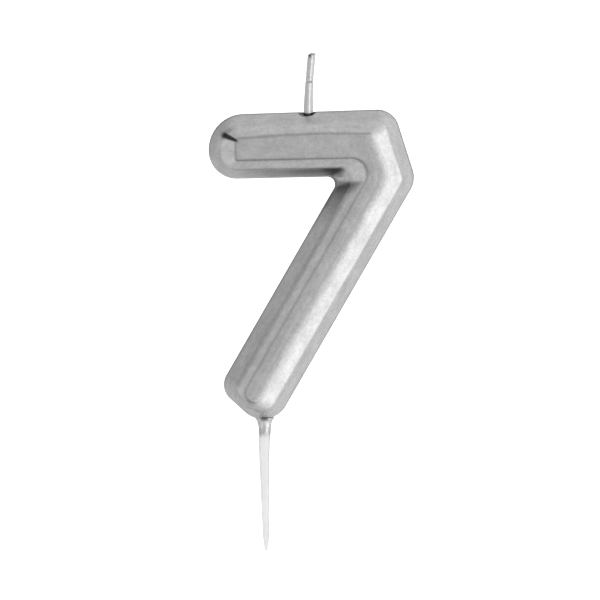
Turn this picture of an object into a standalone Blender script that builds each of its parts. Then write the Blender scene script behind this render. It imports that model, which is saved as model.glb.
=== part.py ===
"""Number seven birthday candle.

A wax numeral with facetted sides wears a thin silver coat, carries a short
cotton wick in the top of its bar, and stands on a plastic pick that is pushed
into the cake. Run it with: blender --background --python part.py

The origin is where the pick leaves the foot of the numeral. +X runs to the
numeral's right, -Y is its front and +Z is up. All sizes are in metres.
"""

import math

import bmesh
import bpy
import numpy as np

# Fits
FIT_GAP = 0.0003  # clearance between any two pieces that touch
OVERRUN = 0.0010  # how far a cutter runs past the face it opens

# Outline of the numeral, seen from the front
NUMERAL_TOP = 0.0700  # top right-hand corner above the cake line
BAR_HEIGHT = 0.0150  # bar at its right-hand end
BAR_TAPER = math.radians(0.63)  # rise of the bar's top edge to the right
BAR_REACH = 0.0113  # bar's free end, left of the pick
SHOULDER_LEAN = math.radians(16.6)  # short right-hand edge, from the vertical
KNEE_DROP = 0.0012  # knee below the bar's underside
LEG_WIDTH = 0.0152
LEG_LEAN = math.radians(31.1)  # leg from the vertical
FOOT_CUT = math.radians(43.7)  # cut end of the leg, below the horizontal
TOE_SHIFT = -0.00025  # centre of the round toe, beside the pick's axis

# Corner radii on the rim, on the crease and on the panel
SHOULDER_ROUNDS = (0.0050, 0.0023, 0.0012)
KNEE_ROUNDS = (0.0056, 0.0030, 0.0018)
TOE_ROUNDS = (0.0060, 0.0040, 0.0022)
HEEL_ROUNDS = (0.00425, 0.0020, 0.0012)
CROOK_ROUNDS = (0.0018, 0.0027, 0.0036)  # inside corner between bar and leg
BAR_END_ROUNDS = (0.0069, 0.0038, 0.0004)

# Section of the numeral: upright seam band, round, side facet, crease, flank, flat panel
DEPTH = 0.0136  # front panel to back panel
PANEL_RISE = 0.0013  # panel above the crease
SEAM_HEIGHT = 0.0006
EDGE_ROUND = 0.0035

# Width of the side facet, and of side facet and flank together, on each edge
SIDE_BAR, INSET_BAR = 0.00255, 0.0048
SIDE_LEG, INSET_LEG = 0.0028, 0.0057
SIDE_FOOT, INSET_FOOT = 0.0017, 0.0030
SIDE_END, INSET_END = 0.0026, 0.0062

# Silver coat
COAT_WALL = 0.0003

# Wick, and the pit that the wax leaves around it
WICK_DIAMETER = 0.0016
WICK_FROM_BAR_END = 0.02265
WICK_FORWARD = 0.0009  # wick in front of the seam plane
WICK_SUNK = 0.0105  # length inside the bar
WICK_FREE = 0.0136  # length above the bar
WICK_SWAY = 0.0011  # tip to the right of the root
PIT_RADIUS = 0.00205
PIT_FLOOR_RADIUS = 0.0014
PIT_DEPTH = 0.0016

# Plastic pick
PICK_LENGTH = 0.0304  # below the cake line
PICK_ROOT_RADIUS = 0.00150
PICK_NECK_RADIUS = 0.00118
PICK_NECK_DROP = 0.0050  # neck below the cake line
PICK_POINT_RADIUS = 0.00060
PICK_POINT_LENGTH = 0.0034
PICK_TIP_RADIUS = 0.00030
SHANK_RADIUS = 0.00110
SHANK_LENGTH = 0.0125  # inside the wax
SHANK_CHAMFER = 0.0004
BARB_RADIUS = 0.00160
BARB_COUNT = 3
BARB_PITCH = 0.0032
BARB_HEIGHT = 0.0020

# Fineness
ARC_STEPS = 9  # on each corner round
EDGE_STEPS = 4  # on the round beside the seam
TURN_STEPS = 24  # round a turned piece
WICK_STEPS = 12

# The outline clockwise from the bar's top: top, shoulder, outer leg, foot, inner leg, underside, end.
# Each corner lies between its edge and the next one.
SIDES = (SIDE_BAR, SIDE_LEG, SIDE_LEG, SIDE_FOOT, SIDE_LEG, SIDE_BAR, SIDE_END)
INSETS = (INSET_BAR, INSET_LEG, INSET_LEG, INSET_FOOT, INSET_LEG, INSET_BAR, INSET_END)
ROUNDS = (
    SHOULDER_ROUNDS,
    KNEE_ROUNDS,
    TOE_ROUNDS,
    HEEL_ROUNDS,
    CROOK_ROUNDS,
    BAR_END_ROUNDS,
    BAR_END_ROUNDS,
)
CROOK = 4
RIM, CREASE, PANEL = 0, 1, 2

SILVER = (0.56, 0.56, 0.57)
WAX = (0.86, 0.85, 0.80)
COTTON = (0.80, 0.79, 0.75)
CLEAR_PLASTIC = (0.86, 0.87, 0.88)


# ---------------------------------------------------------------- scene


def clear_scene():
    for item in list(bpy.data.objects):
        bpy.data.objects.remove(item, do_unlink=True)


def make_collection(name):
    collection = bpy.data.collections.new(name)
    bpy.context.scene.collection.children.link(collection)
    return collection


def make_material(name, colour, roughness, metallic=0.0, transmission=0.0):
    material = bpy.data.materials.new(name)
    material.use_nodes = True
    shader = material.node_tree.nodes["Principled BSDF"]
    shader.inputs["Base Color"].default_value = (*colour, 1.0)
    shader.inputs["Roughness"].default_value = roughness
    shader.inputs["Metallic"].default_value = metallic
    shader.inputs["Transmission Weight"].default_value = transmission
    return material


def add_piece(name, data, collection, material):
    data.materials.append(material)
    made = bpy.data.objects.new(name, data)
    collection.objects.link(made)
    return made


def add_cutter(name, data, collection):
    made = bpy.data.objects.new(name, data)
    made.hide_render = True
    made.display_type = "WIRE"
    collection.objects.link(made)
    return made


def cut(target, cutter):
    boolean = target.modifiers.new("Cut " + cutter.name, "BOOLEAN")
    boolean.operation = "DIFFERENCE"
    boolean.solver = "EXACT"
    boolean.object = cutter


# ---------------------------------------------------------------- outline


def heading(angle):
    return np.array([math.cos(angle), math.sin(angle)])


def meet(line_a, line_b):
    """The point where two lines cross, each given as its normal's angle and its distance."""
    return np.linalg.solve([heading(line_a[0]), heading(line_b[0])], [line_a[1], line_b[1]])


def outline_edges():
    """Each edge as its outward normal's angle and its distance from the origin.

    The angles run on past half a turn, so the normal turns straight from one
    to the next at each corner, and turns back at the crook.
    """
    toe_radius = TOE_ROUNDS[RIM]
    toe = np.array([TOE_SHIFT, toe_radius])
    leg, foot, top = -LEG_LEAN, -math.pi / 2 - FOOT_CUT, math.pi / 2 + BAR_TAPER
    leg_away = toe @ heading(leg) + toe_radius
    underside = NUMERAL_TOP - BAR_HEIGHT
    knee = meet((leg, leg_away), (-math.pi / 2, KNEE_DROP - underside))
    shoulder_away = knee @ heading(SHOULDER_LEAN)
    shoulder = meet((SHOULDER_LEAN, shoulder_away), (math.pi / 2, NUMERAL_TOP))
    return [
        (top, shoulder @ heading(top)),
        (SHOULDER_LEAN, shoulder_away),
        (leg, leg_away),
        (foot, toe @ heading(foot) + toe_radius),
        (leg - math.pi, LEG_WIDTH - leg_away),
        (-math.pi / 2, -underside),
        (-math.pi, BAR_REACH),
    ]


def fitted(radii, edges, turns):
    """The radii, made smaller where the two rounds on one edge would run into each other."""
    corners = [meet(edges[i], edges[(i + 1) % len(edges)]) for i in range(len(edges))]
    tangents = [radius * abs(math.tan(turn / 2)) for radius, turn in zip(radii, turns)]
    room = []
    for i in range(len(edges)):
        length = np.linalg.norm(corners[i] - corners[i - 1])
        room.append(min(1.0, length / (tangents[i] + tangents[i - 1])))
    return [radius * min(room[i], room[(i + 1) % len(room)]) for i, radius in enumerate(radii)]


def ring(insets, radii):
    """The outline as points (x, z), with each edge moved in and each corner rounded."""
    edges = [(angle, away - inset) for (angle, away), inset in zip(outline_edges(), insets)]
    angles = [angle for angle, _ in edges] + [edges[0][0] - 2 * math.pi]
    turns = np.diff(angles)
    points = []
    for i, radius in enumerate(fitted(radii, edges, turns)):
        reach = -math.copysign(radius, turns[i])
        (angle_a, away_a), (angle_b, away_b) = edges[i], edges[(i + 1) % len(edges)]
        centre = meet((angle_a, away_a - reach), (angle_b, away_b - reach))
        for step in range(ARC_STEPS + 1):
            points.append(centre + reach * heading(angles[i] + turns[i] * step / ARC_STEPS))
    return np.array(points)


# ---------------------------------------------------------------- section


def facet_tilts():
    """How far the side facet and the flank of the leg turn away from the front.

    The side facet is the line from the crease that just touches the edge round.
    """
    across = SIDE_LEG - EDGE_ROUND
    up = DEPTH / 2 - PANEL_RISE - SEAM_HEIGHT / 2
    side = math.acos(EDGE_ROUND / math.hypot(across, up)) - math.atan2(across, up)
    return side, math.atan2(PANEL_RISE, INSET_LEG - SIDE_LEG)


def crease_shift(thinning, tilt_a, tilt_b):
    """How far in and how far back the crease of two faces moves when both move in by thinning."""
    reach = thinning / math.cos((tilt_a - tilt_b) / 2)
    middle = (tilt_a + tilt_b) / 2
    return reach * math.sin(middle), reach * math.cos(middle)


def side_section(thinning, side_tilt, crease_in, crease_back):
    """The side from seam to crease, as the share of the way from rim to crease and the depth there."""
    span = SIDE_LEG + crease_in - thinning
    radius = EDGE_ROUND - thinning
    steps = [(0.0, 0.0)]
    for step in range(EDGE_STEPS + 1):
        tilt = math.pi / 2 + (side_tilt - math.pi / 2) * step / EDGE_STEPS
        share = radius * (1 - math.sin(tilt)) / span
        steps.append((share, SEAM_HEIGHT / 2 + radius * math.cos(tilt)))
    steps.append((1.0, DEPTH / 2 - PANEL_RISE - crease_back))
    return steps


def numeral_rings(thinning):
    """The rings of the front half from seam to panel, as points (x, y, z), with every face moved in."""
    side_tilt, flank_tilt = facet_tilts()
    crease_in, crease_back = crease_shift(thinning, side_tilt, flank_tilt)
    panel_in, panel_back = crease_shift(thinning, flank_tilt, 0.0)

    def level(widths, which, moved):
        radii = [rounds[which] - moved for rounds in ROUNDS]
        radii[CROOK] = ROUNDS[CROOK][which] + moved
        return ring([width + moved for width in widths], radii)

    rim = level([0.0] * len(ROUNDS), RIM, thinning)
    crease = level(SIDES, CREASE, crease_in)
    panel = level(INSETS, PANEL, panel_in)
    rings = [
        (rim + (crease - rim) * share, depth)
        for share, depth in side_section(thinning, side_tilt, crease_in, crease_back)
    ]
    rings.append((panel, DEPTH / 2 - panel_back))
    return [[(x, -depth, z) for x, z in points] for points, depth in rings]


def numeral_mesh(name, thinning):
    """The front half of the numeral, lofted from ring to ring and closed with the panel."""
    shape = bmesh.new()
    rings = [[shape.verts.new(point) for point in points] for points in numeral_rings(thinning)]
    for back, front in zip(rings, rings[1:]):
        for i in range(len(back)):
            shape.faces.new((back[i - 1], front[i - 1], front[i], back[i]))
    shape.faces.new(reversed(rings[-1]))
    data = bpy.data.meshes.new(name)
    shape.to_mesh(data)
    shape.free()
    data.shade_smooth()
    data.set_sharp_from_angle(angle=math.radians(15))
    return data


def mirror_front_to_back(made):
    mirror = made.modifiers.new("Back half", "MIRROR")
    mirror.use_axis = (False, True, False)
    mirror.merge_threshold = 0.00001


# ---------------------------------------------------------------- wick


def wick_root():
    """Where the wick's axis meets the top of the bar."""
    top_angle, top_away = outline_edges()[0]
    x = WICK_FROM_BAR_END - BAR_REACH
    return x, -WICK_FORWARD, (top_away - x * math.cos(top_angle)) / math.sin(top_angle)


def wick_curve():
    """A round cord, straight in its bore and swaying to the right as the square of its height above it."""
    x, y, top = wick_root()
    curve = bpy.data.curves.new("wick", "CURVE")
    curve.dimensions = "3D"
    curve.bevel_depth = WICK_DIAMETER / 2
    curve.bevel_resolution = 2
    curve.use_fill_caps = True
    spline = curve.splines.new("POLY")
    spline.points.add(WICK_STEPS)
    for step, point in enumerate(spline.points):
        above = -WICK_SUNK + (WICK_SUNK + WICK_FREE) * step / WICK_STEPS
        sway = WICK_SWAY * max(0.0, above / WICK_FREE) ** 2
        point.co = (x + sway, y, top + above, 1.0)
    return curve


def cone_data(name, low_radius, high_radius, low, high, centre):
    shape = bmesh.new()
    bmesh.ops.create_cone(
        shape,
        cap_ends=True,
        segments=TURN_STEPS,
        radius1=low_radius,
        radius2=high_radius,
        depth=high - low,
    )
    bmesh.ops.translate(shape, verts=shape.verts, vec=(centre[0], centre[1], (low + high) / 2))
    data = bpy.data.meshes.new(name)
    shape.to_mesh(data)
    shape.free()
    return data


def pit_data():
    x, y, top = wick_root()
    return cone_data(
        "wick_pit", PIT_FLOOR_RADIUS, PIT_RADIUS, top - PIT_DEPTH, top + OVERRUN, (x, y)
    )


def bore_data():
    x, y, top = wick_root()
    radius = WICK_DIAMETER / 2 + FIT_GAP
    return cone_data("wick_bore", radius, radius, top - WICK_SUNK - FIT_GAP, top, (x, y))


# ---------------------------------------------------------------- pick


def shank_profile(gap):
    """The barbed shank from its top down to the foot, grown by gap, as (radius, height)."""
    profile = [
        (0.0, SHANK_LENGTH + gap),
        (SHANK_RADIUS - SHANK_CHAMFER + gap, SHANK_LENGTH + gap),
        (SHANK_RADIUS + gap, SHANK_LENGTH - SHANK_CHAMFER + gap),
    ]
    for barb in range(BARB_COUNT):
        low = SHANK_LENGTH - SHANK_CHAMFER - BARB_HEIGHT - FIT_GAP - barb * BARB_PITCH
        profile.append((SHANK_RADIUS + gap, low + BARB_HEIGHT))
        profile.append((BARB_RADIUS + gap, low))
        profile.append((BARB_RADIUS + gap, low - gap))
        profile.append((SHANK_RADIUS + gap, low - gap))
    return [point for i, point in enumerate(profile) if point != profile[i - 1]]


def pick_profile():
    """The whole pick from the shank's top to the tip: a shoulder under the foot, then a tapering spike."""
    return shank_profile(0.0) + [
        (SHANK_RADIUS, -FIT_GAP),
        (PICK_ROOT_RADIUS, -FIT_GAP),
        ((PICK_ROOT_RADIUS + PICK_NECK_RADIUS) / 2, -PICK_NECK_DROP / 3),
        (PICK_NECK_RADIUS, -PICK_NECK_DROP),
        (PICK_POINT_RADIUS, PICK_POINT_LENGTH - PICK_LENGTH),
        (PICK_TIP_RADIUS, PICK_TIP_RADIUS - PICK_LENGTH),
        (0.0, -PICK_LENGTH),
    ]


def socket_profile():
    return shank_profile(FIT_GAP) + [(SHANK_RADIUS + FIT_GAP, -OVERRUN), (0.0, -OVERRUN)]


def profile_data(name, profile):
    data = bpy.data.meshes.new(name)
    points = [(radius, 0.0, height) for radius, height in profile]
    data.from_pydata(points, [(i, i + 1) for i in range(len(points) - 1)], [])
    return data


def turn(made):
    screw = made.modifiers.new("Turned", "SCREW")
    screw.steps = TURN_STEPS
    screw.render_steps = TURN_STEPS
    screw.use_merge_vertices = True
    screw.merge_threshold = 0.00001


# ---------------------------------------------------------------- candle


def build_candle():
    parts = make_collection("number_seven_candle")
    cutters = make_collection("cutters")
    cavity = add_cutter("coat_cavity", numeral_mesh("coat_cavity", COAT_WALL), cutters)
    mirror_front_to_back(cavity)
    pit = add_cutter("wick_pit", pit_data(), cutters)
    bore = add_cutter("wick_bore", bore_data(), cutters)
    socket = add_cutter("pick_socket", profile_data("pick_socket", socket_profile()), cutters)
    turn(socket)

    coat_material = make_material("silver_lacquer", SILVER, 0.30, metallic=1.0)
    coat = add_piece("silver_coat", numeral_mesh("silver_coat", 0.0), parts, coat_material)
    mirror_front_to_back(coat)
    for cutter in (cavity, pit, socket):
        cut(coat, cutter)

    wax_material = make_material("wax", WAX, 0.45)
    core_mesh = numeral_mesh("wax_core", COAT_WALL + FIT_GAP)
    core = add_piece("wax_core", core_mesh, parts, wax_material)
    mirror_front_to_back(core)
    for cutter in (pit, bore, socket):
        cut(core, cutter)

    add_piece("wick", wick_curve(), parts, make_material("waxed_cotton", COTTON, 0.60))

    pick_material = make_material("clear_plastic", CLEAR_PLASTIC, 0.25, transmission=0.6)
    pick = add_piece("cake_pick", profile_data("cake_pick", pick_profile()), parts, pick_material)
    turn(pick)


clear_scene()
build_candle()
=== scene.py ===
"""Number seven birthday candle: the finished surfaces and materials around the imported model.

Every length is in metres and every place is in the model's own frame: the origin
is where the pick leaves the foot, +X is the numeral's right, -Y its front, +Z up.
"""

import math

import bpy
import numpy as np
from bpy.props import FloatProperty, FloatVectorProperty, IntProperty, PointerProperty
from mathutils import Matrix, Vector


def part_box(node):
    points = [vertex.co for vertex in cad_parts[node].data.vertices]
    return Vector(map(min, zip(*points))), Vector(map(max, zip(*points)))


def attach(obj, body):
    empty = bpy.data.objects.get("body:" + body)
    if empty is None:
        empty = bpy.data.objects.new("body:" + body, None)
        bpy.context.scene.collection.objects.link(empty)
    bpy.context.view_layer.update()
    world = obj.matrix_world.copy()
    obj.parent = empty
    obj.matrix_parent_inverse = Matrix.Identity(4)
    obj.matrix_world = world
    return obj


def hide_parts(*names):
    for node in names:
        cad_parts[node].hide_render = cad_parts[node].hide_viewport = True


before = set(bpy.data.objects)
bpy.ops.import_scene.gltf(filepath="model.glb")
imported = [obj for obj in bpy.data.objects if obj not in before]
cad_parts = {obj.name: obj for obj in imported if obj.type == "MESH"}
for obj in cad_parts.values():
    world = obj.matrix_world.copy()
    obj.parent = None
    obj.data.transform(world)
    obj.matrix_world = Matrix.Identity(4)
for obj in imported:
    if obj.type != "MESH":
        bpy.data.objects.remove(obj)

bl_info = {
    "name": "Number Seven Candle",
    "version": (1, 0, 0),
    "blender": (4, 5, 0),
    "location": "View3D > Sidebar > Candle",
    "description": "Silver numeral candle with a braided wick and a moulded pick",
    "category": "Object",
}

BODY = "root"
MM = 0.001
COAT_LOW, COAT_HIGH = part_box("silver_coat")
WICK_LOW, WICK_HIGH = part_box("wick")
PICK_LOW, PICK_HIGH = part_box("cake_pick")
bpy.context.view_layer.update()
WICK_RADIUS = (WICK_HIGH.y - WICK_LOW.y) / 2
WICK_X = WICK_LOW.x + WICK_RADIUS
WICK_Y = (WICK_LOW.y + WICK_HIGH.y) / 2


# -------- settings


def length(name, description, default):
    return FloatProperty(name=name, description=description, default=default, unit="LENGTH")


def turn(name, description, degrees):
    return FloatProperty(
        name=name, description=description, default=math.radians(degrees), subtype="ANGLE"
    )


def colour(name, description, default):
    return FloatVectorProperty(
        name=name, description=description, default=default, subtype="COLOR", min=0.0, max=1.0
    )


class NumeralSettings(bpy.types.PropertyGroup):
    top: length("Top", "Top right-hand corner above the cake line", 70.0 * MM)
    depth: length("Depth", "Front panel to back panel", COAT_HIGH.y - COAT_LOW.y)
    reach: length("Reach", "Free end of the bar, left of the pick", -COAT_LOW.x)
    bar_height: length("Bar height", "Bar at its right-hand end", 15.0 * MM)
    bar_taper: turn("Bar taper", "Rise of the bar's top edge to the right", 0.63)
    shoulder_lean: turn("Shoulder lean", "Short right-hand edge, from the vertical", 16.6)
    knee_drop: length("Knee drop", "Knee below the bar's underside", 1.2 * MM)
    leg_width: length("Leg width", "Across the leg", 15.2 * MM)
    leg_lean: turn("Leg lean", "Leg from the vertical", 31.1)
    foot_cut: turn("Foot cut", "Cut end of the leg, below the horizontal", 43.7)
    toe_shift: length("Toe shift", "Centre of the round toe beside the pick's axis", -0.25 * MM)
    panel_rise: length("Panel rise", "Panel above the crease of the side facet", 1.3 * MM)
    seam_height: length("Seam height", "Upright band along the mould seam", 0.6 * MM)
    edge_round: length("Edge round", "Round between seam band and side facet", 3.5 * MM)
    crown: length("Crown", "Swell of the panel", 0.04 * MM)
    sag: length("Sag", "Drop of the panel's top edge towards both ends", 0.5 * MM)
    ripple: length("Ripple", "Height of the slow waves in the coat", 0.010 * MM)
    groove: length("Groove", "Depth of the line around the panel", 0.02 * MM)
    pit_radius: length("Pit radius", "Pit in the bar around the wick", 2.0 * MM)
    pit_floor: length("Pit floor", "Radius of the floor of the pit", 1.35 * MM)
    pit_forward: length("Pit forward", "Middle of the pit in front of the wick", 0.2 * MM)
    pit_depth: length("Pit depth", "Floor of the pit below the bar's top", 0.85 * MM)
    socket_radius: length("Socket radius", "Dimple in the toe around the pick", 1.25 * MM)
    socket_depth: length("Socket depth", "Top of that dimple above the cake line", 0.8 * MM)
    columns: IntProperty(name="Columns", description="Fineness along the outline", default=10, min=4)


class WickSettings(bpy.types.PropertyGroup):
    reach: length("Reach", "Centre to each of the four edges, at the bar", 1.06 * MM)
    top_reach: length("Top reach", "Centre to each edge, above the wax line", 0.86 * MM)
    squareness: FloatProperty(
        name="Squareness", description="1 is a sharp square, 2 is round", default=1.35, min=1.0, max=2.0
    )
    plait: length("Plait", "Length of one stitch of the braid", 1.1 * MM)
    relief: length("Relief", "Depth between the stitches", 0.035 * MM)
    sway: length("Sway", "Tip to the right of the root", 1.10 * MM)
    aside: length("Aside", "Root to the right of the wick in the wax", 0.16 * MM)
    free: length("Free length", "Wick above the bar", WICK_HIGH.z - WICK_LOW.z - 10.5 * MM)
    sunk: length("Sunk length", "Wick inside the bar", 10.5 * MM)
    wax_line: length("Wax line", "End of the wax on the wick, above the bar", 6.85 * MM)
    notch: length("Notch", "Depth of the nick at the wax line", 0.24 * MM)
    fibres: IntProperty(name="Fibres", description="Loose fibres at the tip", default=24, min=0)


class PickSettings(bpy.types.PropertyGroup):
    root_radius: length("Root radius", "Shoulder under the foot", 1.58 * MM)
    neck_radius: length("Neck radius", "Below the shoulder", 1.21 * MM)
    neck_drop: length("Neck drop", "Neck below the cake line", 4.6 * MM)
    point_radius: length("Point radius", "Where the point starts", 0.66 * MM)
    point_length: length("Point length", "Length of the point", 3.4 * MM)
    tip_radius: length("Tip radius", "Round at the very tip", 0.30 * MM)
    bow: length("Bow", "Lower part of the pick, left of its root", 0.27 * MM)
    shank_radius: length("Shank radius", "Inside the wax", 1.1 * MM)
    parting: length("Parting line", "Ridge left by the mould's halves", 0.035 * MM)
    film_drop: length("Film drop", "How far the silver runs down the pick", 4.4 * MM)
    film_wall: length("Film wall", "Thickness of that silver", 0.04 * MM)


class FinishSettings(bpy.types.PropertyGroup):
    silver: colour("Silver", "Pigment of the coat", (0.65, 0.65, 0.65))
    tarnish: colour("Tarnish", "Duller patches of the coat", (0.56, 0.56, 0.56))
    # Dark colour painted as shade in the pit, creases, crook and round the pick's root, and as a dark
    # reflection at the panel's corner.
    pooled: colour("Pooled", "Coat pooled in the pit", (0.035, 0.035, 0.035))
    cotton: colour("Cotton", "Waxed cotton of the wick", (0.72, 0.72, 0.72))
    # Dark colour of the wick's tip heart, also painted as shade where the wick stands in the pit and in its
    # nick.
    singed: colour("Singed", "Dark heart of the wick's tip", (0.06, 0.06, 0.06))
    plastic: colour("Plastic", "Moulded pick", (0.93, 0.93, 0.93))
    wax: colour("Wax", "Core of the numeral", (0.86, 0.85, 0.80))


class StageSettings(bpy.types.PropertyGroup):
    distance: length("Camera distance", "Camera to the point it looks at", 0.90)
    view_width: length("View width", "Width of the view at the candle", 136.6 * MM)
    elevation: turn("Elevation", "Camera above the horizon", 5.2)
    roll: turn("Roll", "Tilt of the candle in the view", 1.25)
    aim: FloatVectorProperty(
        name="Aim", description="Point in the middle of the view", default=(0.00867, 0.0, 0.02702),
        subtype="XYZ", unit="LENGTH",
    )
    fill: FloatProperty(name="Fill", description="Even light from all round", default=0.65, min=0.0)


SETTINGS = {
    "numeral": NumeralSettings,
    "wick": WickSettings,
    "pick": PickSettings,
    "finish": FinishSettings,
    "stage": StageSettings,
}


def setting(group):
    """One group of the add-on's settings in the current scene."""
    return getattr(bpy.context.scene, "candle_" + group)


# -------- meshes


def quads_of(index, closed):
    """Quads of a sheet whose points' numbers stand in a 2-D array, joined round when closed."""
    if closed:
        index = np.concatenate([index, index[:, :1]], axis=1)
    corners = [index[:-1, :-1], index[1:, :-1], index[1:, 1:], index[:-1, 1:]]
    return np.stack(corners, axis=-1).reshape(-1, 4)


def fan_of(pole, row):
    """Triangles from one point to each step of a row."""
    return np.stack([np.full(len(row) - 1, pole), row[:-1], row[1:]], axis=-1)


def turned_out(points, faces):
    """The faces as given, or all reversed where the volume they enclose counts as negative."""
    volume = 0.0
    for group in faces:
        a = points[group[:, 0]]
        for second, third in ((1, 2), (2, 3))[: group.shape[1] - 2]:
            volume += np.sum(a * np.cross(points[group[:, second]], points[group[:, third]]))
    return [group if volume > 0 else group[:, ::-1] for group in faces]


def capped(rings, poles):
    """Rings of points (ring, point, xyz) joined into a closed sheet, with a pole at each end."""
    index = np.arange(rings.shape[0] * rings.shape[1]).reshape(rings.shape[:2])
    points = np.concatenate([rings.reshape(-1, 3), poles])
    start, end = (np.append(row, row[0]) for row in (index[0], index[-1]))
    faces = [quads_of(index, True), fan_of(index.size, start), fan_of(index.size + 1, end)[:, ::-1]]
    return points, turned_out(points, faces)


def angles_round(sides):
    return np.linspace(0.0, 2 * math.pi, sides, endpoint=False)


def carried(path, across):
    """A ring of offsets (right, front) carried along a path, square to it, as points and faces.

    Ring k is path[k] + right * u + front * v, where front is square to the path
    and as near to -Y as it can be.
    """
    along = np.gradient(path, axis=0)
    along /= np.linalg.norm(along, axis=1)[:, None]
    right = np.cross(along, [0.0, -1.0, 0.0])
    right /= np.linalg.norm(right, axis=1)[:, None]
    front = np.cross(right, along)
    rings = path[:, None] + across[..., :1] * right[:, None] + across[..., 1:] * front[:, None]
    return capped(rings, path[[0, -1]])


def tube(path, radii, sides):
    """A round tube along a path, with its own radius at each point."""
    return carried(path, radii[:, None, None] * heading(angles_round(sides)))


def joined(shells):
    """Several closed shells as one list of points and faces."""
    points, faces, first = [], [], 0
    for shell_points, shell_faces in shells:
        points.append(shell_points)
        faces += [group + first for group in shell_faces]
        first += len(shell_points)
    return np.concatenate(points), faces


def make_piece(name, points, faces, material, attributes=None):
    """An object at the origin, with one smooth mesh and a point attribute for each mask."""
    data = bpy.data.meshes.new(name)
    data.from_pydata(points.tolist(), [], [face for group in faces for face in group.tolist()])
    for key, values in (attributes or {}).items():
        kind = "FLOAT_VECTOR" if values.ndim == 2 else "FLOAT"
        made = data.attributes.new(key, kind, "POINT")
        made.data.foreach_set("vector" if values.ndim == 2 else "value", values.astype(np.float32).ravel())
    data.shade_smooth()
    data.materials.append(material)
    piece = bpy.data.objects.new(name, data)
    bpy.context.scene.collection.objects.link(piece)
    return piece


def heading(angle):
    return np.stack([np.cos(angle), np.sin(angle)], axis=-1)


def smooth_step(values, low, high):
    share = np.clip((values - low) / (high - low), 0.0, 1.0)
    return share * share * (3 - 2 * share)


def bump_at(values, centre, width):
    return np.exp(-(((values - centre) / width) ** 2))


# -------- numeral outline

# Clockwise from the bar's top: top, shoulder, outer leg, foot, inner leg, underside, end.
# Corner i lies between edge i and the next one.
SIDES = np.array([2.55, 2.8, 2.8, 1.7, 2.8, 2.35, 2.6]) * MM
INSETS = np.array([4.65, 5.9, 5.9, 3.0, 5.1, 4.5, 6.2]) * MM
RIM_ROUNDS = np.array([5.0, 5.6, 6.0, 4.25, 1.8, 6.4, 8.1]) * MM
CREASE_ROUNDS = np.array([2.6, 2.8, 4.0, 3.2, 2.7, 3.6, 4.4]) * MM
PANEL_ROUNDS = np.array([2.0, 5.0, 2.0, 2.2, 3.6, 0.5, 0.8]) * MM
INNER_ROUNDS = np.array([1.5, 6.0, 0.5, 1.0, 3.9, 0.03, 0.03]) * MM
INNER_MARGINS = np.array([0.9, 1.9, 1.9, 0.8, 0.8, 0.8, 0.8]) * MM
CREASE_SOFTNESS = np.array([1.20, 0.45, 0.40, 1.10, 1.10, 0.60, 1.10]) * MM
PANEL_SOFTNESS = np.array([0.55, 2.00, 2.00, 0.60, 0.65, 0.35, 0.40]) * MM
# GROOVED: each edge's share of the groove line, which sets its depth and the painted shade along it.
GROOVED = np.array([0.50, 0.0, 0.0, 1.5, 0.9, 1.6, 0.9])
GROOVE_WIDTH = np.array([0.38, 0.30, 0.30, 0.32, 0.38, 0.30, 0.26]) * MM


def meet(angle_a, away_a, angle_b, away_b):
    """Where two lines cross, each given as its normal's angle and its distance from the origin."""
    return np.linalg.solve(np.array([heading(angle_a), heading(angle_b)]), np.array([away_a, away_b]))


def outline_edges(size):
    """Angles of the edges' outward normals, unwound, and the edges' distances from the origin."""
    toe = np.array([size.toe_shift, RIM_ROUNDS[2]])
    leg, foot = -size.leg_lean, -math.pi / 2 - size.foot_cut
    top = math.pi / 2 + size.bar_taper
    leg_away = toe @ heading(leg) + RIM_ROUNDS[2]
    underside = size.top - size.bar_height
    knee = meet(leg, leg_away, -math.pi / 2, size.knee_drop - underside)
    shoulder_away = knee @ heading(size.shoulder_lean)
    shoulder = meet(size.shoulder_lean, shoulder_away, math.pi / 2, size.top)
    angles = [top, size.shoulder_lean, leg, foot, leg - math.pi, -math.pi / 2, -math.pi]
    aways = [
        shoulder @ heading(top),
        shoulder_away,
        leg_away,
        toe @ heading(foot) + RIM_ROUNDS[2],
        size.leg_width - leg_away,
        -underside,
        size.reach,
    ]
    return np.array(angles), np.array(aways)


def bar_top(size):
    """Height of the bar's top edge over the wick's axis."""
    angles, aways = outline_edges(size)
    return (aways[0] - WICK_X * math.cos(angles[0])) / math.sin(angles[0])


def steps_along(columns):
    """Steps on the round at each corner and on the run after it, so that opposite sides match."""
    shoulder, knee, shoulder_run = 2 * columns + 2, columns + 4, 3 * columns
    toe, end = 2 * columns + 6, 2 * columns + 4
    leg, bar = 13 * columns, 9 * columns
    rounds = (shoulder, knee, toe, toe, shoulder + knee + shoulder_run, end, end)
    runs = (shoulder_run, leg, columns, leg, bar, 6, bar)
    return rounds, runs


def run_shares(size):
    """Where the points of each run lie: evenly, but four times closer together along the bar at the wick."""
    _, runs = steps_along(size.columns)
    shares = [np.linspace(0.0, 1.0, count + 1) for count in runs]
    angles, aways = outline_edges(size)
    left = -size.reach + RIM_ROUNDS[6]
    corner = meet(angles[0], aways[0], angles[1], aways[1])[0]
    right = corner - RIM_ROUNDS[0] * math.tan((angles[0] - angles[1]) / 2)
    grid = np.linspace(0.0, 1.0, 400)
    density = 1.0 + 3.0 * bump_at(grid, (WICK_X - left) / (right - left), 0.09)
    summed = np.concatenate([[0.0], np.cumsum((density[1:] + density[:-1]) / 2)])
    shares[6] = np.interp(np.linspace(0.0, summed[-1], runs[6] + 1), summed, grid)
    shares[4] = 1.0 - shares[6][::-1]
    return shares


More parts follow.
